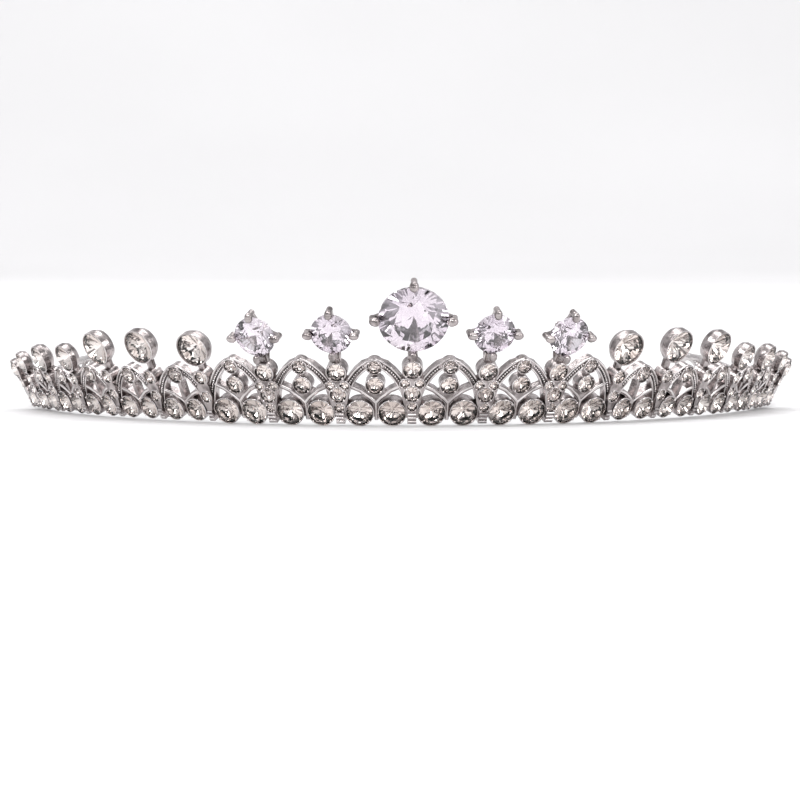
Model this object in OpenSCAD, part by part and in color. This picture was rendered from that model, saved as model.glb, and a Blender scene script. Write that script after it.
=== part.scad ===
// Crystal tiara: a flared openwork band that carries nineteen stone-set spikes, with a wire arm
// and a hairpin eyelet at each end. Millimetres, +Z up, the front faces -Y, and the origin is
// the middle of the footprint on the surface that the tiara stands on.

/* [Plan] */
// Half of the plan oval from ear to ear
plan_side = 65; // [62:0.5:70]
// Middle of the plan oval to its front
plan_front = 88; // [82:0.5:94]
// Outward lean of the band
flare = 25.5; // [15:0.5:30]

/* [Band] */
// Thickness of the openwork bars
bar_t = 1.3; // [1.2:0.1:1.8]
// Width of the arches' limbs
limb_w = 1.25; // [1:0.05:1.4]
// Width of the groove along a limb, between its raised edges
groove_w = 0.6; // [0.4:0.05:0.7]
// Depth of the groove
groove_deep = 0.3; // [0.15:0.05:0.4]
// Width of the chevrons' arms
chevron_w = 0.75; // [0.6:0.05:0.9]
// Height of the rail behind the base stones
rail_h = 2.4; // [2:0.1:2.8]
// Front face of the base stones' cups, from the middle of the band
cup_front = 1.2; // [1:0.1:1.4]

/* [Settings] */
// Gap between a stone and its setting
seat_gap = 0.1; // [0.1:0.05:0.15]
// Metal around a stone
rim = 0.16; // [0.12:0.01:0.2]
// Metal around a spike's stone
cup_rim = 0.22; // [0.15:0.01:0.3]
// Radius of a claw's ball tip on a side crystal
claw_tip = 0.6; // [0.45:0.01:0.65]
// Radius of a claw's upright wire
claw_r = 0.5; // [0.45:0.01:0.55]
// Thickness of a claw's web
claw_t = 0.8; // [0.6:0.1:0.9]

/* [Arms] */
// Wire diameter
wire_d = 1.35; // [1.2:0.05:1.6]
// Radius of the eyelet's hole
eyelet_r = 2.1; // [1.8:0.05:2.3]
// Height of the soldered tab
tab_h = 2.6; // [2:0.1:3]
// Length of the soldered tab
tab_l = 7.5; // [6:0.5:9]
// Thickness of the soldered tab
tab_t = 0.8; // [0.6:0.1:1]

/* [Hidden] */
$fn = 48;

// Bays from the front upright to the end: columns are the pitch, the base stone, the stone
// under the arch's top, its height up the band, and the stone hung below it
BAY_PITCH = 0;
BAY_BASE = 1;
BAY_APEX = 2;
BAY_APEX_H = 3;
BAY_DROP = 4;
bays = [
    [10.5, 3.9, 2.0, 10.1, 2.5],
    [10.5, 3.9, 2.0, 10.1, 2.5],
    [10.5, 3.9, 2.0, 10.0, 2.5],
    [9.8, 3.3, 2.5, 8.3, 0],
    [9.8, 3.3, 2.5, 7.9, 0],
    [9.8, 3.3, 2.5, 7.7, 0],
    [9.2, 3.3, 2.3, 7.0, 0],
    [9.2, 3.3, 2.3, 6.8, 0],
    [5.8, 3.0, 0, 0, 0]
];
// Uprights from the front to the end: columns are the spike's stone, its height up the band,
// the stone at the spike's foot, its height, the stone below it, and its height
UP_STONE = 0;
UP_STONE_H = 1;
UP_FOOT = 2;
UP_FOOT_H = 3;
UP_MID = 4;
UP_MID_H = 5;
uprights = [
    [10.6, 18.9, 2.6, 9.7, 2.3, 5.65],
    [6.4, 16.1, 2.6, 9.3, 2.3, 5.45],
    [6.4, 15.5, 2.6, 9.1, 2.3, 5.25],
    [5.0, 12.9, 1.9, 8.0, 1.6, 4.7],
    [5.0, 13.1, 1.9, 7.8, 1.6, 4.6],
    [5.0, 12.5, 1.9, 7.6, 1.6, 4.5],
    [4.0, 10.5, 1.7, 6.8, 1.5, 4.3],
    [4.0, 10.0, 1.7, 6.6, 1.5, 4.3],
    [3.0, 9.0, 1.5, 6.1, 1.4, 4.1],
    [3.0, 7.5, 1.4, 5.0, 0, 0]
];
// Goblet outline of the front uprights and of the side ones: columns are the width of the foot,
// of the waist and of the mouth, and how far the mouth is below the foot stone's middle
GOBLET_FOOT = 0;
GOBLET_WAIST = 1;
GOBLET_MOUTH = 2;
GOBLET_DROP = 3;
goblets = [
    [1.35, 2.6, 3.9, 2.3],
    [0.9, 1.8, 2.3, 1.6]
];
// Chevron of the front bays and of the side ones: columns are the point's height and the rise
CHEVRON_H = 0;
CHEVRON_RISE = 1;
chevrons = [
    [3.8, 2.9],
    [3.3, 2.1]
];
bay_n = len(bays);
last = len(uprights) - 1;
front_n = 3; // so many bays and uprights from the front have the hung stone and a clawed crystal
function zone(k) = k < front_n ? 0 : 1;

// Stone proportions, in parts of the diameter
table_part = 0.58;
crown_part = 0.15;
girdle_part = 0.04;
pavilion_part = 0.36;
claw_pavilion_part = 0.42;
sunk = 0.05; // a set stone's girdle below the rim of its setting

// Seats: height of the base stones' middle, their place in the bay, and the faces of the metal
base_h = 2.4;
base_place = 0.265;
base_cup_deep = 0.75;
rail_low = 1.3;
rail_t = 1;
boss_front = 1.05;
hung_drop = 3.15; // the hung stone's middle below the stone under the arch's top
block_front = 1.25;
block_back = 0.8;
pin_stone = 1.3; // the small stone low on a front upright
pin_drop = 2.15; // its middle below the mid stone's
pair_stone = 1.25; // the two small stones side by side on a front upright
pair_stone_x = 1.1;
overlap = 0.05; // what runs into another piece of metal ends so far short of its far face

// The lowest rim of the base cups and the eyelets touch the surface below
base_cup_r = bays[0][BAY_BASE] / 2 + seat_gap + rim;
lift = (base_cup_r - base_h) * cos(flare) + cup_front * sin(flare);

// Plan: the oval's points, its length from the front, and its heading
function oval(t) = [plan_side * sin(t), -plan_front * cos(t)];
oval_table = [
    for (t = 0, s = 0; t <= 90; s = s + norm(oval(t + 1) - oval(t)), t = t + 1) [s, t]
];
function oval_at(s) = oval(lookup(s, oval_table));
function heading(s) =
    let (t = lookup(s, oval_table)) atan2(plan_front * sin(t), plan_side * cos(t));
upright_s = [
    for (i = 0, s = 0; i <= bay_n; s = s + (i < bay_n ? bays[i][BAY_PITCH] : 0), i = i + 1) s
];
function chord(j) = oval_at(upright_s[j + 1]) - oval_at(upright_s[j]);
function bay_half(j) = norm(chord(j)) / 2;
function bay_heading(j) = atan2(chord(j)[1], chord(j)[0]);
function bay_spread(j) = sin(flare) * sin((heading(upright_s[j + 1]) - heading(upright_s[j])) / 2);

// Arm: a wire in three arcs that climbs to the back, where the eyelet stands on its rim.
// Columns of the arcs are the radius and the wire's inward heading where the arc ends
arm_arcs = [[50, 0], [205, 13.2], [9, 42]];
arm_z = lift + 1.5;
arm_sunk = 5; // degrees of the first arc that run back into the band
joint_d = wire_d + 0.06;
eyelet_d = wire_d + 0.15;
eyelet_mid_r = eyelet_r + 0.55;
eyelet_outer = eyelet_mid_r + eyelet_d / 2;
eyelet_top_z = eyelet_outer + eyelet_mid_r;
tab_s = upright_s[last] - 3.2;
tab_low = 0.6;
tab_sunk = 0.15;
arm_start = oval_at(upright_s[last]);
arm_turns = [heading(upright_s[last]) - 90, for (arc = arm_arcs) arc[1]];
function turned(r, a) = r * [cos(a), sin(a)];
function arc_step(k) = turned(arm_arcs[k][0], arm_turns[k + 1]) - turned(arm_arcs[k][0], arm_turns[k]);
function arc_start(k) = k == 0 ? arm_start : arc_start(k - 1) + arc_step(k - 1);
arm_run = arc_start(len(arm_arcs))[1] - arm_start[1];
arm_climb = asin((eyelet_top_z - arm_z) / arm_run);
eyelet_lean = arm_turns[len(arm_arcs)];
eyelet_y = arm_start[1] + arm_run * cos(arm_climb);

// Claws: how far the ball tip's middle is beyond the stone's edge and above its girdle, how far
// the wire's middle is beyond the ball's, and its ends above and below the girdle
side_crystal = uprights[1][UP_STONE];
claw_up = 0.74;
claw_hook = 0.45;
claw_wire_top = 0.6;
claw_wire_low = 0.75;
claw_knuckle = 0.03; // more than the wire's radius
function claw_out(d) = 0.15 + (d - side_crystal) * 0.055;
function claw_ball(d) = claw_tip + (d - side_crystal) * 0.026;
function claw_girdle(d) = 0.6 + d * 0.18;

// Front to back: the origin is half-way between the front crystal's top claw and the eyelets
back_y = eyelet_y + eyelet_mid_r * cos(eyelet_lean) + eyelet_d / 2;
front_crystal = uprights[0][UP_STONE];
front_y = -plan_front
    - (uprights[0][UP_STONE_H] + front_crystal / 2 + claw_out(front_crystal)) * sin(flare)
    - (claw_girdle(front_crystal) + claw_up) * cos(flare)
    - claw_ball(front_crystal);
middle_y = (front_y + back_y) / 2;

// Places on the band: x runs along it, y up it and z out of it
module on_band(point, turn) {
    translate([point[0], point[1] - middle_y, lift])
        rotate([0, 0, turn])
            rotate([90 + flare, 0, 0])
                children();
}
module at_bay(j) {
    on_band((oval_at(upright_s[j]) + oval_at(upright_s[j + 1])) / 2, bay_heading(j)) children();
}
module at_upright(i) {
    on_band(oval_at(upright_s[i]), heading(upright_s[i])) children();
}
module both_sides() {
    children();
    mirror([1, 0, 0]) children();
}

// A bar along a line of points, as wide as w with its end as wide as end_w
function across(p, k) =
    let (a = p[max(k - 1, 0)], b = p[min(k + 1, len(p) - 1)], d = b - a) [-d[1], d[0]] / norm(d);
module bar(points, w, end_w) {
    end = len(points) - 1;
    half = [for (k = [0:end]) across(points, k) * (k == end ? end_w : w) / 2];
    polygon(concat(
        [for (k = [0:end]) points[k] + half[k]],
        [for (k = [end:-1:0]) points[k] - half[k]]
    ));
}
module rod(a, b, r_a, r_b) {
    d = b - a;
    translate(a)
        rotate([0, acos(d[2] / norm(d)), atan2(d[1], d[0])])
            cylinder(h = norm(d), r1 = r_a, r2 = r_b);
}

// Each half of an arch rises straight up at the upright and leans to the top, part of the way
// from a circle's arc to a quarter of an ellipse
arch_foot_h = 1.3;
arch_round = 0.45;
arch_steps = 8;
arch_end_w = limb_w * 0.75;
function arch_top(j) = bays[j][BAY_APEX_H] + bays[j][BAY_APEX] / 2 - 0.3;
function arch_line(j, side) =
    let (
        foot_x = bay_half(j) - 0.2,
        rise = arch_top(j) - arch_foot_h,
        r = (foot_x * foot_x + rise * rise) / (2 * foot_x),
        sweep = asin(rise / r)
    ) [
        for (k = [0:arch_steps])
            let (
                a = sweep * k / arch_steps,
                h = arch_foot_h + r * sin(a),
                circle_x = foot_x - r * (1 - cos(a)),
                ellipse_x = foot_x * sqrt(max(0, 1 - pow(r * sin(a) / rise, 2))),
                x = circle_x + arch_round * (ellipse_x - circle_x)
            ) [side * x * (1 + bay_spread(j) * h / bay_half(j)), h]
    ];

function without_ends(points) = [for (k = [1:len(points) - 2]) points[k]];

// The chevron below the hung stone: its point stands on a stem between the two base stones
chevron_reach = 0.72; // to the sides, in parts of the half bay
chevron_curve = [[0, 0], [0.2, 0.3], [0.6, 0.75], [1, 1]]; // in parts of the reach and the rise
function chevron_h(j) = chevrons[zone(j)][CHEVRON_H];
function chevron_line(j, side) =
    let (x = side * bay_half(j) * chevron_reach, up = chevrons[zone(j)][CHEVRON_RISE])
        [for (c = chevron_curve) [x * c[0], chevron_h(j) + up * c[1]]];
stem_low = 0.9;
stem_w = [0.5, 1]; // at its lower end and at the chevron's point
pin_w = 0.7; // of the bar that the stones under the arch hang on, where it meets the arch
fan = [[0, 0], [1.7, 1.9], [0, 2.6], [-1.7, 1.9]]; // the plate above a front chevron's point

module bay_openwork(j) {
    h = chevron_h(j);
    difference() {
        translate([0, 0, -bar_t / 2]) linear_extrude(bar_t) {
            for (side = [-1, 1]) {
                bar(arch_line(j, side), limb_w, arch_end_w);
                bar(chevron_line(j, side), chevron_w, chevron_w);
            }
            bar([[0, stem_low], [0, h + 0.3]], stem_w[0], stem_w[1]);
            if (bays[j][BAY_DROP] > 0)
                translate([0, h]) polygon(fan);
            bar([[0, h], [0, arch_top(j)]], chevron_w, pin_w);
        }
        for (side = [-1, 1])
            translate([0, 0, bar_t / 2 - groove_deep]) linear_extrude(bar_t)
                bar(without_ends(arch_line(j, side)), groove_w, groove_w);
    }
}
// Stones of a bay's middle: columns are the size and the height
function bay_seats(j) = [
    for (seat = [
        [bays[j][BAY_APEX], bays[j][BAY_APEX_H]],
        [bays[j][BAY_DROP], bays[j][BAY_APEX_H] - hung_drop]
    ]) if (seat[0] > 0) seat
];
module bay_bosses(j) {
    back = bar_t / 2 + overlap;
    for (seat = bay_seats(j))
        translate([0, seat[1], -back])
            cylinder(h = boss_front + back, r = seat[0] / 2 + seat_gap + rim);
}
function base_xs(j) =
    j == bay_n - 1 ? [0] : [for (side = [-1, 1]) side * bay_half(j) * (1 - 2 * base_place)];
module bay_base(j) {
    reach = bay_half(j) + 2 * overlap;
    translate([-reach, rail_low, -block_back + 2 * overlap])
        cube([2 * reach, rail_h, rail_t]);
    for (x = base_xs(j))
        translate([x, base_h, -base_cup_deep])
            cylinder(h = cup_front + base_cup_deep, r = bays[j][BAY_BASE] / 2 + seat_gap + rim);
}
module bay_metal(j) {
    at_bay(j) {
        bay_base(j);
        if (bays[j][BAY_APEX] > 0) {
            bay_openwork(j);
            bay_bosses(j);
        }
        else
            end_brace(j);
    }
}
// The last, short bay has one limb that falls from its first upright to the end
brace = [[-1, 5.4], [-0.2, 4.6], [0.6, 3.4], [1, 1.5]]; // in parts of the half bay, and height
module end_brace(j) {
    line = [for (b = brace) [b[0] * bay_half(j), b[1]]];
    translate([0, 0, -bar_t / 2]) linear_extrude(bar_t) bar(line, limb_w, limb_w);
}

// Upright: a goblet-shaped block that the limbs of both arches run into
goblet_low = 0.6;
goblet_foot_h = 2.4;
goblet_waist_h = 4.2;
function mirrored(half) = concat(half, [for (k = [len(half) - 1:-1:0]) [-half[k][0], half[k][1]]]);
module upright_plate(i) {
    g = goblets[zone(i)];
    foot = g[GOBLET_FOOT] / 2;
    mouth_h = uprights[i][UP_FOOT_H] - g[GOBLET_DROP];
    half = [
        [foot, goblet_low],
        [foot, goblet_foot_h],
        [g[GOBLET_WAIST] / 2, min(goblet_waist_h, mouth_h - 0.5)],
        [g[GOBLET_MOUTH] / 2, mouth_h],
        [g[GOBLET_MOUTH] * 0.3, mouth_h + 1]
    ];
    translate([0, 0, -block_back]) linear_extrude(block_back + block_front) polygon(mirrored(half));
}
module upright_foot(i) {
    back = block_back - overlap;
    translate([0, uprights[i][UP_FOOT_H], -back])
        cylinder(h = back + block_front, r = uprights[i][UP_FOOT] / 2 + seat_gap + cup_rim);
}

// Spike's stone seats: a round cup with a domed back, or four webbed claws
cup_front_z = 1.4;
spike_r = [0.65, 0.7]; // of the rod behind a cup, at its foot and at the cup
clawed_r = [0.7, 0.85]; // of the rod behind a clawed head
prop_r = [0.75, 0.8]; // of the rod below a clawed head
bowl = [[0.55, -1], [0.85, -0.8], [1, -0.45], [1, 0]]; // in parts of the radius and the depth
function cup_depth(d) = d * (pavilion_part + girdle_part) + 0.5;
module cup(d) {
    r = d / 2 + seat_gap + cup_rim;
    rotate_extrude()
        polygon([[0, -cup_depth(d)], for (b = bowl) [b[0] * r, b[1] * cup_depth(d)], [0, 0]]);
}
function claw_seat(d, x) = claw_girdle(d) - d * (girdle_part + claw_pavilion_part * (1 - 2 * x / d)) - 0.16;
function claw_back(d) = claw_seat(d, 0) - 0.75;
module claw_pair(d) {
    r = d / 2;
    g = claw_girdle(d);
    back = claw_back(d);
    inside = r + 0.15;
    shelf = claw_seat(d, inside);
    wire = r + claw_out(d) + claw_hook;
    side = [
        [wire, shelf], [wire, g - claw_wire_low], [r * 0.86, g - d * 0.2],
        [r * 0.5, g - d * 0.36], [r * 0.2, back]
    ];
    seat = [[-inside, shelf], [0, claw_seat(d, 0)], [inside, shelf]];
    rotate([90, 0, 0]) translate([0, 0, -claw_t / 2]) linear_extrude(claw_t)
        polygon(concat(mirrored(side), seat));
    for (x = [-1, 1]) {
        translate([x * wire, 0, g - claw_wire_low])
            cylinder(h = claw_wire_low + claw_wire_top, r = claw_r);
        translate([x * wire, 0, g + claw_wire_top]) sphere(r = claw_r + claw_knuckle);
        translate([x * (r + claw_out(d)), 0, g + claw_up]) sphere(r = claw_ball(d));
    }
}
module clawed_head(d) {
    claw_pair(d);
    rotate([0, 0, 90]) claw_pair(d);
}
module spike(i) {
    d = uprights[i][UP_STONE];
    h = uprights[i][UP_STONE_H];
    foot = [0, uprights[i][UP_FOOT_H] + uprights[i][UP_FOOT] / 2 - 0.3, 0];
    if (i < front_n) {
        translate([0, h, 0]) clawed_head(d);
        rod(foot, [0, h - d * 0.16, claw_back(d) + 0.45], clawed_r[0], clawed_r[1]);
        rod(foot, [0, h - d / 2 - 0.35, claw_girdle(d) - d * 0.17], prop_r[0], prop_r[1]);
    }
    else {
        translate([0, h, cup_front_z]) cup(d);
        rod(foot, [0, h - d * 0.3, cup_front_z - cup_depth(d) * 0.6], spike_r[0], spike_r[1]);
    }
}

// Every stone's place and size: the child reads the diameter $d, and its z = 0 is the rim of
// the setting
module base_row_places() {
    both_sides() for (j = [0:bay_n - 1]) at_bay(j) for (x = base_xs(j)) translate([x, base_h, cup_front]) {
        $d = bays[j][BAY_BASE];
        children();
    }
}
module upright_places(i) {
    pair_h = uprights[i][UP_FOOT_H] - goblets[0][GOBLET_DROP];
    seats = concat(
        [[0, uprights[i][UP_FOOT_H], uprights[i][UP_FOOT]]],
        uprights[i][UP_MID] > 0 ? [[0, uprights[i][UP_MID_H], uprights[i][UP_MID]]] : [],
        i < front_n ? [
            [0, uprights[i][UP_MID_H] - pin_drop, pin_stone],
            [-pair_stone_x, pair_h, pair_stone],
            [pair_stone_x, pair_h, pair_stone]
        ] : []
    );
    at_upright(i) for (seat = seats) translate([seat[0], seat[1], block_front]) {
        $d = seat[2];
        children();
    }
}
module band_places() {
    upright_places(0) children();
    both_sides() for (i = [1:last]) upright_places(i) children();
    both_sides() for (j = [0:bay_n - 1]) at_bay(j) for (seat = bay_seats(j))
        translate([0, seat[1], boss_front]) {
            $d = seat[0];
            children();
        }
}
module cup_places() {
    both_sides() for (i = [front_n:last]) at_upright(i)
        translate([0, uprights[i][UP_STONE_H], cup_front_z]) {
            $d = uprights[i][UP_STONE];
            children();
        }
}
function seat_depth(d) = d * (pavilion_part + girdle_part) + sunk + 0.07;
module seat(depth) {
    translate([0, 0, -depth]) cylinder(h = depth + 1, r = $d / 2 + seat_gap);
}
// A spike's cup narrows to the back, so its seat has a step where the stone has narrowed too
seat_step = 0.62;
module stepped_seat() {
    deep = seat_depth($d);
    step_r = seat_step * ($d / 2 + seat_gap);
    seat(deep - 2 * pavilion_part * step_r + seat_gap);
    translate([0, 0, -deep]) cylinder(h = deep, r = step_r);
}

// Round stones: a table, a crown, a thin girdle and a pavilion that ends in a point
function ring(n, r, z, turn = 0) =
    [for (k = [0:n - 1]) [r * cos(turn + 360 * k / n), r * sin(turn + 360 * k / n), z]];
module round_stone(d, n) {
    r = d / 2;
    points = concat(
        ring(8, r * table_part, d * crown_part),
        ring(n, r, 0),
        ring(n, r, -d * girdle_part),
        [[0, 0, -d * (girdle_part + pavilion_part)]]
    );
    g = 8;
    low = g + n;
    culet = low + n;
    step = n / 8;
    crown = step == 2
        ? [for (k = [0:7]) each [
            [g + (2 * k + n - 1) % n, k, g + 2 * k],
            [g + 2 * k, k, g + (2 * k + 1) % n],
            [g + (2 * k + 1) % n, k, (k + 1) % 8]
        ]]
        : [for (k = [0:7]) [g + k, k, (k + 1) % 8, g + (k + 1) % n]];
    polyhedron(points, concat(
        [[for (k = [7:-1:0]) k]],
        crown,
        [for (k = [0:n - 1]) [low + k, g + k, g + (k + 1) % n, low + (k + 1) % n]],
        [for (k = [0:n - 1]) [culet, low + k, low + (k + 1) % n]]
    ));
}
// The clawed crystals have star and kite facets as well
module brilliant(d) {
    r = d / 2;
    points = concat(
        ring(8, r * table_part, d * crown_part),
        ring(8, r * 0.8, d * crown_part * 0.55, 22.5),
        ring(16, r, 0),
        ring(16, r, -d * girdle_part),
        [[0, 0, -d * (girdle_part + claw_pavilion_part)]]
    );
    mid = 8;
    g = 16;
    low = 32;
    culet = 48;
    polyhedron(points, concat(
        [[for (k = [7:-1:0]) k]],
        [for (k = [0:7]) each [
            [mid + k, k, (k + 1) % 8],
            [mid + (k + 7) % 8, k, g + 2 * k],
            [g + 2 * k, k, mid + k],
            [g + 2 * k, mid + k, g + 2 * k + 1],
            [g + 2 * k + 1, mid + k, g + (2 * k + 2) % 16]
        ]],
        [for (k = [0:15]) [low + k, g + k, g + (k + 1) % 16, low + (k + 1) % 16]],
        [for (k = [0:15]) [culet, low + k, low + (k + 1) % 16]]
    ));
}

// Arm: a soldered tab, the wire and its eyelet
module arm_wire() {
    translate([0, arm_start[1] - middle_y, arm_z])
        rotate([arm_climb, 0, 0])
            for (k = [0:len(arm_arcs) - 1]) {
                c = arc_start(k) - turned(arm_arcs[k][0], arm_turns[k]) - [0, arm_start[1]];
                from = arm_turns[k] - (k == 0 ? arm_sunk : 0);
                translate(c)
                    rotate([0, 0, from]) {
                        rotate_extrude(angle = arm_turns[k + 1] - from)
                            translate([arm_arcs[k][0], 0]) circle(d = wire_d);
                        if (k > 0)
                            translate([arm_arcs[k][0], 0, 0]) sphere(d = joint_d);
                    }
            }
}
module at_eyelet() {
    translate([arc_start(len(arm_arcs))[0], eyelet_y - middle_y, eyelet_outer])
        rotate([90, 0, 90 + eyelet_lean])
            children();
}
module arm() {
    on_band(oval_at(tab_s), heading(tab_s))
        translate([-tab_l / 2, tab_low, tab_sunk - block_back - tab_t]) cube([tab_l, tab_h, tab_t]);
    difference() {
        union() {
            arm_wire();
            at_eyelet() rotate_extrude() translate([eyelet_mid_r, 0]) circle(d = eyelet_d);
        }
        at_eyelet() cylinder(h = 2 * eyelet_d, r = eyelet_r, center = true);
    }
}

module metalwork() {
    color("silver") difference() {
        union() {
            at_upright(0) {
                upright_plate(0);
                upright_foot(0);
                spike(0);
            }
            both_sides() {
                for (j = [0:bay_n - 1]) bay_metal(j);
                for (i = [1:last]) at_upright(i) {
                    upright_plate(i);
                    upright_foot(i);
                    spike(i);
                }
                arm();
            }
        }
        base_row_places() seat(seat_depth($d));
        band_places() seat(seat_depth($d));
        cup_places() stepped_seat();
    }
}
module base_row_stones() {
    color("gainsboro") base_row_places() translate([0, 0, -sunk]) round_stone($d, 16);
}
module band_stones() {
    color("whitesmoke") band_places() translate([0, 0, -sunk]) round_stone($d, 8);
}
module spike_stone(i, side) {
    d = uprights[i][UP_STONE];
    h = uprights[i][UP_STONE_H];
    color("white") mirror([side < 0 ? 1 : 0, 0, 0]) at_upright(i)
        if (i < front_n)
            translate([0, h, claw_girdle(d)]) brilliant(d);
        else
            translate([0, h, cup_front_z - sunk]) round_stone(d, 16);
}

// Names of the spikes' stones: the front one, then left and right from the front to the ends
side_names = [
    for (i = [1:last]) for (side = [-1, 1])
        [str(i < front_n ? "crystal_" : "cup_stone_", side < 0 ? "l" : "r", i), i, side]
];
metalwork();
base_row_stones();
band_stones();
spike_stone(0, 1);  // crystal_front
for (n = side_names)
    spike_stone(n[1], n[2]);
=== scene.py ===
import math
import random

import bpy
from mathutils import Matrix, Vector


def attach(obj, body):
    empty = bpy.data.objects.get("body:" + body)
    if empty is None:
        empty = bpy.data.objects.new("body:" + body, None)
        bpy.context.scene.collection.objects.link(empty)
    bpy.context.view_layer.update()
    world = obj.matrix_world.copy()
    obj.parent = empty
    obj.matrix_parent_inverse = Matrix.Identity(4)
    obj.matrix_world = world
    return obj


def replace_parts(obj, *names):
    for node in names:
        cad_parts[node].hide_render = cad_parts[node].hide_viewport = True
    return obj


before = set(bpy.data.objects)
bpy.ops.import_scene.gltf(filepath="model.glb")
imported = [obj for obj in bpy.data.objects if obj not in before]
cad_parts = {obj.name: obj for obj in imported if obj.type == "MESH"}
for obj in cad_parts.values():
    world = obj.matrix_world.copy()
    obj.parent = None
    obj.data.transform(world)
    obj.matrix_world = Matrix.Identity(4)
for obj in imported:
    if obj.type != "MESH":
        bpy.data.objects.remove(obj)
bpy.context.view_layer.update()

random.seed(11)
mm = 0.001

# the band's plan and its tables, the same numbers as in the CAD, in millimetres and degrees
plan = {"side": 65.0, "front": 88.0, "flare": 25.5, "middle": -34.3553, "lift": 0.3451}
# per bay: pitch, base stone, stone at the arch's top, its height, hanging stone
bays = [
    (10.5, 3.9, 2.0, 10.1, 2.5), (10.5, 3.9, 2.0, 10.1, 2.5), (10.5, 3.9, 2.0, 10.0, 2.5),
    (9.8, 3.3, 2.5, 8.3, 0), (9.8, 3.3, 2.5, 7.9, 0), (9.8, 3.3, 2.5, 7.7, 0),
    (9.2, 3.3, 2.3, 7.0, 0), (9.2, 3.3, 2.3, 6.8, 0), (5.8, 3.0, 0, 0, 0),
]
# per upright: spike stone and height, foot stone and height, stone below and height
uprights = [
    (10.6, 18.9, 2.6, 9.7, 2.3, 5.65), (6.4, 16.1, 2.6, 9.3, 2.3, 5.45), (6.4, 15.5, 2.6, 9.1, 2.3, 5.25),
    (5.0, 12.9, 1.9, 8.0, 1.6, 4.7), (5.0, 13.1, 1.9, 7.8, 1.6, 4.6), (5.0, 12.5, 1.9, 7.6, 1.6, 4.5),
    (4.0, 10.5, 1.7, 6.8, 1.5, 4.3), (4.0, 10.0, 1.7, 6.6, 1.5, 4.3), (3.0, 9.0, 1.5, 6.1, 1.4, 4.1),
    (3.0, 7.5, 1.4, 5.0, 0, 0),
]
# how far each kind of metal face stands in front of the band's middle
faces = {"bar": 0.65, "boss": 1.05, "block": 1.25, "cup": 1.2, "spikeCup": 1.4}
frontBays = 3


def ovalPoint(t):
    return Vector((plan["side"] * math.sin(math.radians(t)), -plan["front"] * math.cos(math.radians(t))))


ovalTable = [(0.0, 0)]
for t in range(90):
    ovalTable.append((ovalTable[-1][0] + (ovalPoint(t + 1) - ovalPoint(t)).length, t + 1))


def turnAt(s):
    for (s0, t0), (s1, t1) in zip(ovalTable, ovalTable[1:]):
        if s <= s1:
            return t0 + (t1 - t0) * (s - s0) / (s1 - s0)
    return 90


def heading(s):
    t = math.radians(turnAt(s))
    return math.atan2(plan["front"] * math.sin(t), plan["side"] * math.cos(t))


uprightAt = [sum(b[0] for b in bays[:i]) for i in range(len(bays) + 1)]
uprightPoints = [ovalPoint(turnAt(s)) for s in uprightAt]


def onBand(point, turn, side):
    place = Matrix.Translation((side * point.x * mm, (point.y - plan["middle"]) * mm, plan["lift"] * mm))
    lean = Matrix.Rotation(math.radians(90 + plan["flare"]), 4, "X")
    return place @ Matrix.Rotation(side * turn, 4, "Z") @ lean


def atUpright(i, side):
    return onBand(uprightPoints[i], heading(uprightAt[i]), side)


def atBay(j, side):
    chord = uprightPoints[j + 1] - uprightPoints[j]
    return onBand((uprightPoints[j] + uprightPoints[j + 1]) / 2, math.atan2(chord.y, chord.x), side)


def bayHalf(j):
    return (uprightPoints[j + 1] - uprightPoints[j]).length / 2


def sides(i):
    return (1,) if i == 0 else (-1, 1)  # the front upright stands in the middle, once


# small helpers
def clearSelection():
    bpy.ops.object.select_all(action="DESELECT")


def pick(obj):
    clearSelection()
    obj.select_set(True)
    bpy.context.view_layer.objects.active = obj


def copyTo(source, matrix, bag):
    new = source.copy()
    new.data = source.data.copy()
    new.data.transform(matrix)
    bpy.context.scene.collection.objects.link(new)
    bag.append(new)


def joinAs(bag, name, smooth=None):
    clearSelection()
    for obj in bag:
        obj.select_set(True)
    bpy.context.view_layer.objects.active = bag[0]
    if len(bag) > 1:
        bpy.ops.object.join()
    obj = bpy.context.view_layer.objects.active
    obj.name = name
    obj.data.name = name
    if smooth is not None:
        pick(obj)
        bpy.ops.object.shade_smooth_by_angle(angle=math.radians(smooth))
    return obj


def shapePart(obj, chosen, move=None, size=None):
    # chosen says of a vertex's place whether it is shaped
    pick(obj)
    bpy.ops.object.mode_set(mode="EDIT")
    bpy.ops.mesh.select_all(action="DESELECT")
    bpy.ops.object.mode_set(mode="OBJECT")
    for v in obj.data.vertices:
        v.select = chosen(v.co)
    bpy.ops.object.mode_set(mode="EDIT")
    if move:
        bpy.ops.transform.translate(value=move)
    if size:
        bpy.ops.transform.resize(value=size, center_override=(0, 0, 0))
    bpy.ops.object.mode_set(mode="OBJECT")


def scaled(x, y, z, size):
    return Matrix.Translation((x * mm, y * mm, z * mm)) @ Matrix.Scale(size * mm, 4)


# materials
def finishWith(obj, material):
    obj.data.materials.clear()
    obj.data.materials.append(material)


def newMaterial(name):
    mat = bpy.data.materials.new(name)
    mat.use_nodes = True
    nodes, links = mat.node_tree.nodes, mat.node_tree.links
    nodes.clear()
    out = nodes.new("ShaderNodeOutputMaterial")
    coords = nodes.new("ShaderNodeTexCoord")
    return mat, nodes, links, out, coords


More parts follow.
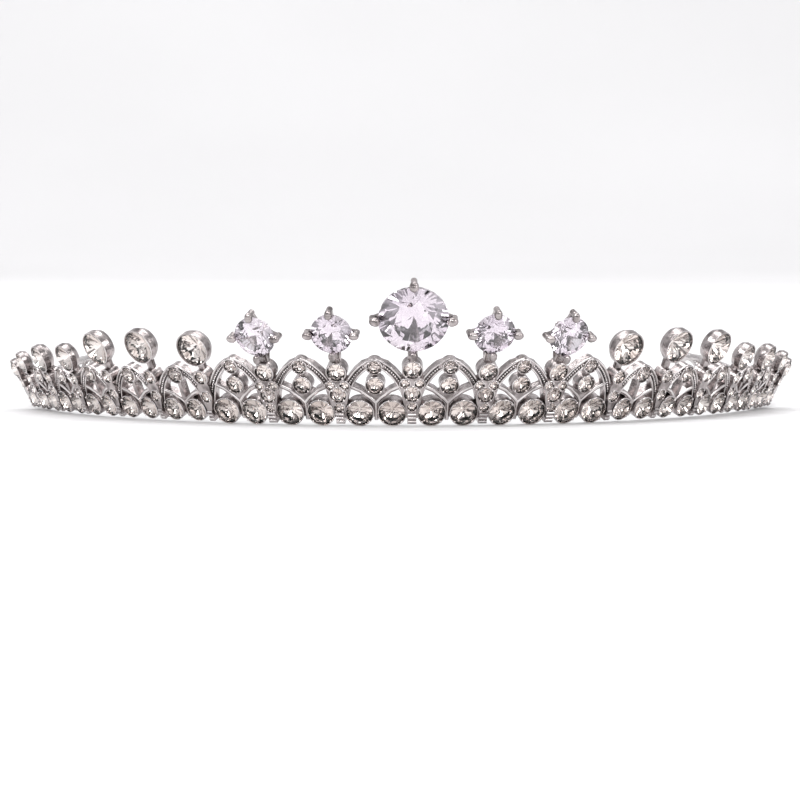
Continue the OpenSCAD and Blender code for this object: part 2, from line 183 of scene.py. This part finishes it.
def noiseRamp(nodes, links, coords, scale, detail, stops):
    noise = nodes.new("ShaderNodeTexNoise")
    noise.inputs["Scale"].default_value = scale
    noise.inputs["Detail"].default_value = detail
    links.new(coords.outputs["Object"], noise.inputs["Vector"])
    ramp = nodes.new("ShaderNodeValToRGB")
    ramp.color_ramp.elements[0].position = stops[0][0]
    ramp.color_ramp.elements[0].color = stops[0][1]
    ramp.color_ramp.elements[1].position = stops[1][0]
    ramp.color_ramp.elements[1].color = stops[1][1]
    links.new(noise.outputs["Fac"], ramp.inputs["Fac"])
    return noise, ramp


castSettings = {"dark": (0.2, 0.176, 0.174, 1), "light": (0.5, 0.455, 0.45, 1), "scale": 800,
                "rough": (0.14, 0.3), "dents": 0.5, "dentScale": 2600}
polishSettings = {"dark": (0.5, 0.465, 0.46, 1), "light": (0.84, 0.8, 0.795, 1), "scale": 420,
                  "rough": (0.08, 0.2), "dents": 0.12, "dentScale": 1500}
# near-black metal: painted shade for the channels between the limb rims
paintedGrooveShadeSettings = {"dark": (0.03, 0.026, 0.026, 1), "light": (0.1, 0.09, 0.088, 1), "scale": 900,
                  "rough": (0.3, 0.5), "dents": 0.3, "dentScale": 1500}
# the arms: where they start behind the band, and over what length the finish changes, in metres
wireSettings = {"dark": (0.5, 0.475, 0.47, 1), "light": (0.62, 0.59, 0.585, 1), "scale": 160,
                "from": 0.0015, "blend": 0.001}
silverDetail = 4
silverStops = (0.35, 0.6)
dentDepth = 0.0001


def silverRamp(nodes, links, coords, s):
    stops = [(silverStops[0], s["dark"]), (silverStops[1], s["light"])]
    return noiseRamp(nodes, links, coords, s["scale"], silverDetail, stops)


def silverMaterial(name, s, arms=None):
    mat, nodes, links, out, coords = newMaterial(name)
    shader = nodes.new("ShaderNodeBsdfPrincipled")
    shader.inputs["Metallic"].default_value = 1.0
    noise, ramp = silverRamp(nodes, links, coords, s)
    color = ramp.outputs["Color"]
    if arms:
        # the wire arms behind the band are drawn, not cast, and have a paler, even colour
        split = nodes.new("ShaderNodeSeparateXYZ")
        links.new(coords.outputs["Object"], split.inputs["Vector"])
        behind = nodes.new("ShaderNodeMapRange")
        behind.inputs["From Min"].default_value = arms["from"]
        behind.inputs["From Max"].default_value = arms["from"] + arms["blend"]
        links.new(split.outputs["Y"], behind.inputs["Value"])
        armRamp = silverRamp(nodes, links, coords, arms)[1]
        blend = nodes.new("ShaderNodeMixRGB")
        links.new(behind.outputs["Result"], blend.inputs["Fac"])
        links.new(color, blend.inputs["Color1"])
        links.new(armRamp.outputs["Color"], blend.inputs["Color2"])
        color = blend.outputs["Color"]
    links.new(color, shader.inputs["Base Color"])
    rough = nodes.new("ShaderNodeMapRange")
    rough.inputs["To Min"].default_value = s["rough"][0]
    rough.inputs["To Max"].default_value = s["rough"][1]
    links.new(noise.outputs["Fac"], rough.inputs["Value"])
    links.new(rough.outputs["Result"], shader.inputs["Roughness"])
    fine = nodes.new("ShaderNodeTexNoise")
    fine.inputs["Scale"].default_value = s["dentScale"]
    fine.inputs["Detail"].default_value = 3
    links.new(coords.outputs["Object"], fine.inputs["Vector"])
    dent = nodes.new("ShaderNodeBump")
    dent.inputs["Strength"].default_value = s["dents"]
    dent.inputs["Distance"].default_value = dentDepth
    links.new(fine.outputs["Fac"], dent.inputs["Height"])
    links.new(dent.outputs["Normal"], shader.inputs["Normal"])
    links.new(shader.outputs["BSDF"], out.inputs["Surface"])
    return mat


crystalSettings = {"low": (0.938, 0.912, 0.938, 1), "high": (0.985, 0.966, 0.983, 1), "ior": 2.1}
paleSettings = {"low": (0.98, 0.955, 0.94, 1), "high": (1, 0.985, 0.975, 1), "ior": 1.52}
cloudScale = 160  # of the faint clouds in both kinds of glass
# the second set of foil stops is a darker copy of the foil: painted shade for some facets
foilSettings = {"bright": [(0.38, (0.96, 0.92, 0.9, 1)), (0.62, (1, 0.97, 0.955, 1))],
                "paintedShade": [(0.38, (0.44, 0.4, 0.385, 1)), (0.62, (0.56, 0.52, 0.5, 1))],
                "rough": 0.03, "scale": 900}


def glassMaterial(name, s):
    mat, nodes, links, out, coords = newMaterial(name)
    shader = nodes.new("ShaderNodeBsdfGlass")
    shader.inputs["IOR"].default_value = s["ior"]
    shader.inputs["Roughness"].default_value = 0.0
    ramp = noiseRamp(nodes, links, coords, cloudScale, 1, [(0.4, s["low"]), (0.62, s["high"])])[1]
    links.new(ramp.outputs["Color"], shader.inputs["Color"])
    links.new(shader.outputs["BSDF"], out.inputs["Surface"])
    return mat


def foilMaterial(name, stops):
    mat, nodes, links, out, coords = newMaterial(name)
    shader = nodes.new("ShaderNodeBsdfPrincipled")
    shader.inputs["Metallic"].default_value = 1.0
    shader.inputs["Roughness"].default_value = foilSettings["rough"]
    ramp = noiseRamp(nodes, links, coords, foilSettings["scale"], 2, stops)[1]
    links.new(ramp.outputs["Color"], shader.inputs["Base Color"])
    links.new(shader.outputs["BSDF"], out.inputs["Surface"])
    return mat


silver = silverMaterial("castSilver", castSettings, wireSettings)
polished = silverMaterial("polishedSilver", polishSettings)
paintedGrooveShade = silverMaterial("paintedGrooveShadeSilver", paintedGrooveShadeSettings)
crystalGlass = glassMaterial("crystalGlass", crystalSettings)
paleGlass = glassMaterial("rhinestoneGlass", paleSettings)
foil = foilMaterial("stoneFoil", foilSettings["bright"])
# a darker copy of the foil, painted shade for facets picked at random
paintedShadeFoil = foilMaterial("paintedShadeFoil", foilSettings["paintedShade"])
finishWith(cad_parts["metalwork"], silver)
print("materials ready")

# cut stones: a cylinder is cut facet by facet, as a lapidary does
# per row of facets, on a stone of width 1: count, first angle, slope, and a radius and height they pass
crown = [(8, 0, 34.5, 0.5, 0), (16, 11.25, 37.5, 0.5, 0), (8, 22.5, 22, 0.268, 0.15)]
crystalCut = {"crown": crown, "pavilion": [(8, 0, 40.0, 0.5, -0.04), (16, 11.25, 40.3, 0.5, -0.04)]}
rhinestoneCut = {"crown": crown, "pavilion": [(8, 0, 35.75, 0.5, -0.04), (16, 11.25, 36.05, 0.5, -0.04)]}
# brightShare is the share of foil facets left plain; the rest get the darker foil of painted shade
cutSettings = {"sides": 32, "depth": 1.4, "table": 0.15, "merge": 0.0008, "flat": 0.3,
               "foilBelow": -0.02, "brightShare": 0.68}


def cutPlane(point, normal):
    bpy.ops.mesh.select_all(action="SELECT")
    bpy.ops.mesh.bisect(plane_co=point, plane_no=normal, use_fill=True, clear_outer=True)


def cutStone(name, cut, materials):
    s = cutSettings
    clearSelection()
    bpy.ops.mesh.primitive_cylinder_add(vertices=s["sides"], radius=0.5, depth=s["depth"])
    stone = bpy.context.active_object
    stone.name = name
    bpy.ops.object.mode_set(mode="EDIT")
    cutPlane((0, 0, s["table"]), (0, 0, 1))
    for level, up in (("crown", 1), ("pavilion", -1)):
        for count, first, slope, r, z in cut[level]:
            for k in range(count):
                a = math.radians(first + 360 * k / count)
                tilt = math.radians(slope)
                normal = (math.cos(a) * math.sin(tilt), math.sin(a) * math.sin(tilt), up * math.cos(tilt))
                cutPlane((r * math.cos(a), r * math.sin(a), z), normal)
    bpy.ops.mesh.select_all(action="SELECT")
    bpy.ops.mesh.remove_doubles(threshold=s["merge"])
    bpy.ops.mesh.dissolve_limited(angle_limit=math.radians(s["flat"]))
    bpy.ops.mesh.normals_make_consistent(inside=False)
    bpy.ops.object.mode_set(mode="OBJECT")
    for mat in materials:
        stone.data.materials.append(mat)
    # only a foiled stone has more than one material: the glass, the foil, and a darker copy of the foil
    # that paints shade on facets picked at random
    for face in stone.data.polygons:
        if len(materials) > 1 and face.center.z < s["foilBelow"]:
            face.material_index = 1 if random.random() < s["brightShare"] else 2
    return stone


crystalMaster = cutStone("crystalMaster", crystalCut, [crystalGlass])
rhineMaster = cutStone("rhineMaster", rhinestoneCut, [paleGlass, foil, paintedShadeFoil])
print("stones cut", len(crystalMaster.data.polygons), len(rhineMaster.data.polygons))

# heights and offsets of the stones on the band, again as in the CAD
seatSettings = {"baseHeight": 2.4, "baseSpread": 0.47, "hangBelow": 3.15, "pin": 1.3, "pinBelow": 2.15,
                "pair": 1.25, "pairOut": 1.1, "pairBelow": 2.3}
stoneSettings = {"sink": 0.05, "clawedOut": 0.6, "clawedPart": 0.18}


def twist():
    return Matrix.Rotation(random.uniform(0, math.pi / 4), 4, "Z")


def baseXs(j):
    x = seatSettings["baseSpread"] * bayHalf(j)
    return [0] if j == len(bays) - 1 else [-x, x]


def clawedZ(d):
    return stoneSettings["clawedOut"] + stoneSettings["clawedPart"] * d


def spikeName(i, side):
    if i == 0:
        return "crystal_front"
    return ("crystal_" if i < frontBays else "cup_stone_") + ("l" if side < 0 else "r") + str(i)


# a seat: its frame, x and height on the band, the face's z and the stone's diameter
baseSeats, bandSeats, spikeSeats = [], [], []
for j, (_, baseStone, archStone, archHeight, hangStone) in enumerate(bays):
    for side in (-1, 1):
        place = atBay(j, side)
        for x in baseXs(j):
            baseSeats.append((place, x, seatSettings["baseHeight"], faces["cup"], baseStone))
        if archStone:
            bandSeats.append((place, 0, archHeight, faces["boss"], archStone))
        if hangStone:
            bandSeats.append((place, 0, archHeight - seatSettings["hangBelow"], faces["boss"], hangStone))
for i, (spikeStone, spikeHeight, footStone, footHeight, lowStone, lowHeight) in enumerate(uprights):
    for side in sides(i):
        place = atUpright(i, side)
        bandSeats.append((place, 0, footHeight, faces["block"], footStone))
        if lowStone:
            bandSeats.append((place, 0, lowHeight, faces["block"], lowStone))
        if i < frontBays:
            pinHeight = lowHeight - seatSettings["pinBelow"]
            bandSeats.append((place, 0, pinHeight, faces["block"], seatSettings["pin"]))
            for x in (-seatSettings["pairOut"], seatSettings["pairOut"]):
                pairHeight = footHeight - seatSettings["pairBelow"]
                bandSeats.append((place, x, pairHeight, faces["block"], seatSettings["pair"]))
        seat = (place, 0, spikeHeight, faces["spikeCup"], spikeStone)
        spikeSeats.append(seat + (spikeName(i, side), i < frontBays))

sink = stoneSettings["sink"]
for seats, node in ((baseSeats, "base_row_stones"), (bandSeats, "band_stones")):
    bag = []
    for place, x, h, z, d in seats:
        copyTo(rhineMaster, place @ scaled(x, h, z - sink, d) @ twist(), bag)
    stones = joinAs(bag, node + "_cut")
    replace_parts(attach(stones, "root"), node)
for place, x, h, z, d, node, clawed in spikeSeats:
    bag = []
    if clawed:
        copyTo(crystalMaster, place @ scaled(x, h, clawedZ(d), d) @ twist(), bag)
    else:
        copyTo(rhineMaster, place @ scaled(x, h, z - sink, d) @ twist(), bag)
    stone = joinAs(bag, node + "_cut")
    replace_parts(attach(stone, "root"), node)
for master in (crystalMaster, rhineMaster):
    bpy.data.objects.remove(master)
print("stones set", len(baseSeats), len(bandSeats), len(spikeSeats))

# collars: the thin raised lips round the stones
collarSettings = {"reach": 0.18, "cupExtra": 0.02, "wire": 0.08, "rings": 24, "ringSides": 6,
                  "worn": 0.03, "sink": 0.02}


def collarRing(d, extra):
    s = collarSettings
    middle = (d / 2 + s["reach"] + extra) * mm
    clearSelection()
    bpy.ops.mesh.primitive_torus_add(major_radius=middle, minor_radius=s["wire"] * mm,
                                     major_segments=s["rings"], minor_segments=s["ringSides"])
    ring = bpy.context.active_object
    outer = middle + s["wire"] * mm / 4
    shapePart(ring, lambda co: co.xy.length > outer, move=(0, 0, -s["worn"] * mm))  # worn outer edge
    return ring


def collars(name, seats, extra):
    bag, rings = [], {}
    for place, x, h, z, d in seats:
        if d not in rings:
            rings[d] = collarRing(d, extra)
        seat = Matrix.Translation((x * mm, h * mm, (z - collarSettings["sink"]) * mm))
        copyTo(rings[d], place @ seat, bag)
    for ring in rings.values():
        bpy.data.objects.remove(ring)
    obj = joinAs(bag, name, 60)
    finishWith(obj, polished)
    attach(obj, "root")


collars("base_collars", baseSeats, 0)
collars("band_collars", bandSeats, collarSettings["cupExtra"])
cupSeats = [seat[:5] for seat in spikeSeats if not seat[-1]]
collars("spike_collars", cupSeats, collarSettings["cupExtra"])

# grains: four round each set stone, and the beading of the limbs
grainSettings = {"size": 0.2, "smallPart": 0.75, "smallUpTo": 2, "count": 4, "first": 45,
                 "out": 0.06, "up": 0.1, "foot": 1.25}
clearSelection()
bpy.ops.mesh.primitive_uv_sphere_add(segments=8, ring_count=4, radius=1)
grainMaster = bpy.context.active_object
foot = grainSettings["foot"]
shapePart(grainMaster, lambda co: -0.9 < co.z < -0.1, size=(foot, foot, 1))  # broad at the foot


def grains(name, spots):
    bag = []
    for matrix in spots:
        copyTo(grainMaster, matrix, bag)
    obj = joinAs(bag, name, 80)
    finishWith(obj, polished)
    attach(obj, "root")


clawSpots = []
for place, x, h, z, d in baseSeats + bandSeats:
    size = grainSettings["size"]
    if d <= grainSettings["smallUpTo"]:
        size *= grainSettings["smallPart"]
    r = d / 2 + grainSettings["out"]
    for k in range(grainSettings["count"]):
        a = math.radians(grainSettings["first"] + 360 * k / grainSettings["count"])
        spot = scaled(x + r * math.cos(a), h + r * math.sin(a), z + grainSettings["up"], size)
        clawSpots.append(place @ spot)
grains("claw_grains", clawSpots)
print("collars and grains ready")

# claws: egg-shaped caps on the tips of the four claws of each crystal
capSettings = {"side": {"out": 0.34, "up": 0.66, "size": (0.81, 0.62, 0.62)},
               "front": {"out": 0.5, "up": 0.62, "size": (0.86, 0.72, 0.7)}, "narrow": 0.8}
clearSelection()
bpy.ops.mesh.primitive_uv_sphere_add(segments=16, ring_count=10, radius=1)
capMaster = bpy.context.active_object
# the end over the stone is the egg's small end
shapePart(capMaster, lambda co: co.x < -0.2, size=(1, capSettings["narrow"], capSettings["narrow"]))
caps = []
for place, x, h, z, d, node, clawed in spikeSeats:
    if not clawed:
        continue
    s = capSettings["front" if node == "crystal_front" else "side"]
    along, across, deep = s["size"]
    for k in range(4):
        spin = Matrix.Translation((0, h * mm, 0)) @ Matrix.Rotation(math.radians(90 * k), 4, "Z")
        cap = Matrix.Translation(((d / 2 + s["out"]) * mm, 0, (clawedZ(d) + s["up"]) * mm))
        shape = Matrix.Diagonal((along * mm, across * mm, deep * mm, 1))
        copyTo(capMaster, place @ spin @ cap @ shape, caps)
bpy.data.objects.remove(capMaster)
claws = joinAs(caps, "claw_caps", 80)
finishWith(claws, silver)
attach(claws, "root")
print("claw caps ready")

# arches: raised rims along the limbs, with a near-black wire in the channel that paints shade into the
# groove, and a row of beading between them
limbSettings = {"width": 1.25, "footIn": 0.2, "footHeight": 1.3, "topIn": 0.3, "round": 0.45, "steps": 18,
                "rim": 0.17, "rimIn": 0.12, "rimUp": 0.03, "innerFrom": 3,
                "channel": 0.24, "channelSink": 0.25, "channelFrom": 4,
                "bead": 0.19, "beadGap": 0.42, "beadUp": 0.02}
# chevrons: wires along them; foot is the bottom's height and rise how far the arms climb
chevronSettings = {"wire": 0.34, "sink": 0.2, "reach": 0.72, "stemFoot": 1.0,
                   "front": {"foot": 3.8, "rise": 2.9}, "side": {"foot": 3.3, "rise": 2.1},
                   "bends": ((0, 0), (0.2, 0.3), (0.6, 0.75), (1, 1))}


def archLine(j, side, shift):
    s = limbSettings
    archStone, archHeight = bays[j][2:4]
    footX, footH = bayHalf(j) - s["footIn"], s["footHeight"]
    rise = archHeight + archStone / 2 - s["topIn"] - footH
    r = (footX * footX + rise * rise) / (2 * footX)
    sweep = math.asin(rise / r)
    turn = heading(uprightAt[j + 1]) - heading(uprightAt[j])
    spread = math.sin(math.radians(plan["flare"])) * math.sin(turn / 2)
    points = []
    # a circle's arc, rounded part of the way towards an ellipse
    for k in range(s["steps"] + 1):
        a = sweep * k / s["steps"]
        h = footH + r * math.sin(a)
        circleX = footX - r * (1 - math.cos(a))
        ellipseX = footX * math.sqrt(max(0, 1 - (r * math.sin(a) / rise) ** 2))
        x = circleX + s["round"] * (ellipseX - circleX)
        points.append(Vector((side * x * (1 + spread * h / bayHalf(j)), h)))
    shifted = []
    for k, p in enumerate(points):
        along = points[min(k + 1, s["steps"])] - points[max(k - 1, 0)]
        across = Vector((along.y, -along.x)).normalized() * side
        shifted.append(p + across * shift)
    return shifted


def wires(name, runs, radius, material, sidesOf=2):
    curve = bpy.data.curves.new(name, "CURVE")
    curve.dimensions = "3D"
    curve.bevel_depth = radius * mm
    curve.bevel_resolution = sidesOf
    curve.use_fill_caps = True
    for run in runs:
        spline = curve.splines.new("POLY")
        spline.points.add(len(run) - 1)
        for point, co in zip(spline.points, run):
            point.co = (co.x, co.y, co.z, 1)
    obj = bpy.data.objects.new(name, curve)
    bpy.context.scene.collection.objects.link(obj)
    pick(obj)
    bpy.ops.object.convert(target="MESH")
    obj = bpy.context.active_object
    bpy.ops.object.shade_smooth_by_angle(angle=math.radians(60))
    finishWith(obj, material)
    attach(obj, "root")


def placed(place, points, z):
    return [place @ Vector((p.x * mm, p.y * mm, z * mm)) for p in points]


def evenly(points, gap):
    out, carried = [], 0.0
    for a, b in zip(points, points[1:]):
        length = (b - a).length
        while carried <= length:
            out.append(a.lerp(b, carried / length))
            carried += gap
        carried -= length
    return out


rimRuns, channelRuns, chevronRuns, beadSpots = [], [], [], []
edge = limbSettings["width"] / 2 - limbSettings["rimIn"]
rimZ = faces["bar"] + limbSettings["rimUp"]
beadZ = faces["bar"] + limbSettings["beadUp"]
chevronZ = faces["bar"] - chevronSettings["sink"]
for j in range(len(bays) - 1):  # the last bay is a plain end without an arch
    chevron = chevronSettings["front" if j < frontBays else "side"]
    reach = bayHalf(j) * chevronSettings["reach"]
    for side in (-1, 1):
        place = atBay(j, side)
        for lean in (-1, 1):
            rimRuns.append(placed(place, archLine(j, lean, edge), rimZ))
            rimRuns.append(placed(place, archLine(j, lean, -edge)[limbSettings["innerFrom"]:], rimZ))
            middle = archLine(j, lean, 0)[limbSettings["channelFrom"]:]
            channelRuns.append(placed(place, middle, faces["bar"] - limbSettings["channelSink"]))
            for p in evenly(middle, limbSettings["beadGap"]):
                beadSpots.append(place @ scaled(p.x, p.y, beadZ, limbSettings["bead"]))
            line = [Vector((lean * reach * out, chevron["foot"] + up * chevron["rise"]))
                    for out, up in chevronSettings["bends"]]
            chevronRuns.append(placed(place, line, chevronZ))
        stem = [Vector((0, chevronSettings["stemFoot"])), Vector((0, chevron["foot"]))]
        chevronRuns.append(placed(place, stem, chevronZ))
wires("limb_rims", rimRuns, limbSettings["rim"], polished)
# the channel wire is near-black: painted shade in the groove between the rims
wires("limb_channels", channelRuns, limbSettings["channel"], paintedGrooveShade)
wires("chevron_wires", chevronRuns, chevronSettings["wire"], polished, 3)
print("rims ready", len(rimRuns), "beads", len(beadSpots))

# uprights: small ribs on the blocks
ribSettings = {"wire": 0.2, "heights": (1.0, 1.6, 2.2), "halfWidth": 0.62, "sidePart": 0.66, "up": 0.02}
ribRuns = []
for i in range(len(uprights)):
    w = ribSettings["halfWidth"] * (1 if i < frontBays else ribSettings["sidePart"])
    for side in sides(i):
        for h in ribSettings["heights"]:
            rib = [Vector((-w, h)), Vector((w, h))]
            ribRuns.append(placed(atUpright(i, side), rib, faces["block"] + ribSettings["up"]))
wires("block_ribs", ribRuns, ribSettings["wire"], polished)
grains("limb_beading", beadSpots)
bpy.data.objects.remove(grainMaster)
print("uprights ready")

# stage: a floor that curves up into a wall behind the tiara
floorSettings = {"size": 3.0, "rise": 1.6, "curve": 0.9, "steps": 20, "rough": 0.6,
                 "near": (0.76, 0.755, 0.76, 1), "far": (0.8, 0.795, 0.8, 1)}
clearSelection()
bpy.ops.mesh.primitive_plane_add(size=floorSettings["size"], location=(0, 0, 0))
floor = bpy.context.active_object
floor.name = "floor"
bpy.ops.object.mode_set(mode="EDIT")
bpy.ops.mesh.select_all(action="DESELECT")
bpy.ops.object.mode_set(mode="OBJECT")
for edge in floor.data.edges:
    edge.select = all(floor.data.vertices[v].co.y > 0 for v in edge.vertices)
bpy.ops.object.mode_set(mode="EDIT")
bpy.ops.mesh.select_mode(type="EDGE")
step = floorSettings["curve"] * math.radians(90 / floorSettings["steps"])
for k in range(floorSettings["steps"]):
    a = math.radians(90 * (k + 0.5) / floorSettings["steps"])
    along = (0, step * math.cos(a), step * math.sin(a))
    bpy.ops.mesh.extrude_region_move(TRANSFORM_OT_translate={"value": along})
bpy.ops.mesh.extrude_region_move(TRANSFORM_OT_translate={"value": (0, 0, floorSettings["rise"])})
bpy.ops.object.mode_set(mode="OBJECT")
bpy.ops.object.shade_smooth()
floorMat, nodes, links, out, coords = newMaterial("paleFloor")
shader = nodes.new("ShaderNodeBsdfPrincipled")
shader.inputs["Roughness"].default_value = floorSettings["rough"]
stops = [(0.3, floorSettings["near"]), (0.7, floorSettings["far"])]
ramp = noiseRamp(nodes, links, coords, 3, 2, stops)[1]
links.new(ramp.outputs["Color"], shader.inputs["Base Color"])
links.new(shader.outputs["BSDF"], out.inputs["Surface"])
floor.data.materials.append(floorMat)

# lights: place, aim, edge length and power of each soft box
lights = {
    "keyLight": {"at": (-0.5, -0.6, 0.75), "to": (0, -0.02, 0.01), "size": 0.3, "power": 4.0},
    "fillLight": {"at": (0.75, -0.5, 0.45), "to": (0, -0.02, 0.01), "size": 0.4, "power": 2.0},
    "frontLight": {"at": (0.15, -0.85, 0.6), "to": (0, -0.05, 0), "size": 0.45, "power": 3.4},
    "topLight": {"at": (0.0, -0.5, 3.0), "to": (0, 0.8, 0), "size": 1.4, "power": 7},
    "wallLight": {"at": (0.0, 0.4, 1.6), "to": (0, 2.3, 0.4), "size": 1.6, "power": 30},
}
for name, s in lights.items():
    data = bpy.data.lights.new(name, "AREA")
    data.shape = "SQUARE"
    data.size = s["size"]
    data.energy = s["power"]
    lamp = bpy.data.objects.new(name, data)
    bpy.context.scene.collection.objects.link(lamp)
    lamp.location = s["at"]
    lamp.rotation_euler = (Vector(s["at"]) - Vector(s["to"])).to_track_quat("Z", "Y").to_euler()

# the studio round it: bright, with a dark patch above the camera that gives the metal its contrast
studioSettings = {"strength": 0.72, "patchTowards": (0.15, -0.84, 0.52), "patchEdge": (0.7, 0.95),
                  "bright": (0.98, 0.98, 1.0, 1), "dark": (0.06, 0.056, 0.06, 1)}
world = bpy.data.worlds.new("studio")
bpy.context.scene.world = world
world.use_nodes = True
nodes, links = world.node_tree.nodes, world.node_tree.links
nodes.clear()
out = nodes.new("ShaderNodeOutputWorld")
sky = nodes.new("ShaderNodeBackground")
sky.inputs["Strength"].default_value = studioSettings["strength"]
coords = nodes.new("ShaderNodeTexCoord")
towards = nodes.new("ShaderNodeVectorMath")
towards.operation = "DOT_PRODUCT"
towards.inputs[1].default_value = studioSettings["patchTowards"]
ramp = nodes.new("ShaderNodeValToRGB")
ramp.color_ramp.elements[0].position = studioSettings["patchEdge"][0]
ramp.color_ramp.elements[0].color = studioSettings["bright"]
ramp.color_ramp.elements[1].position = studioSettings["patchEdge"][1]
ramp.color_ramp.elements[1].color = studioSettings["dark"]
links.new(coords.outputs["Generated"], towards.inputs[0])
links.new(towards.outputs["Value"], ramp.inputs["Fac"])
links.new(ramp.outputs["Color"], sky.inputs["Color"])
links.new(sky.outputs["Background"], out.inputs["Surface"])

# camera: the photo's distance, lens and azimuth, just above the floor
cameraSettings = {"distance": 0.56, "azimuth": 1.7, "elevation": 3.0, "target": (0.0, -0.054, 0.0015),
                  "lens": 166.3, "sensor": 36, "shift": (-0.0145, 0.02), "clip": (0.01, 20)}
data = bpy.data.cameras.new("camera")
data.lens = cameraSettings["lens"]
data.sensor_width = cameraSettings["sensor"]
data.clip_start, data.clip_end = cameraSettings["clip"]
data.shift_x, data.shift_y = cameraSettings["shift"]
data.dof.use_dof = False
camera = bpy.data.objects.new("camera", data)
bpy.context.scene.collection.objects.link(camera)
bpy.context.scene.camera = camera
az, el = math.radians(cameraSettings["azimuth"]), math.radians(cameraSettings["elevation"])
look = Vector((math.sin(az) * math.cos(el), math.cos(az) * math.cos(el), -math.sin(el)))
camera.location = Vector(cameraSettings["target"]) - look * cameraSettings["distance"]
camera.rotation_euler = (-look).to_track_quat("Z", "Y").to_euler()
bpy.context.scene.view_settings.view_transform = "Standard"
print("stage ready")
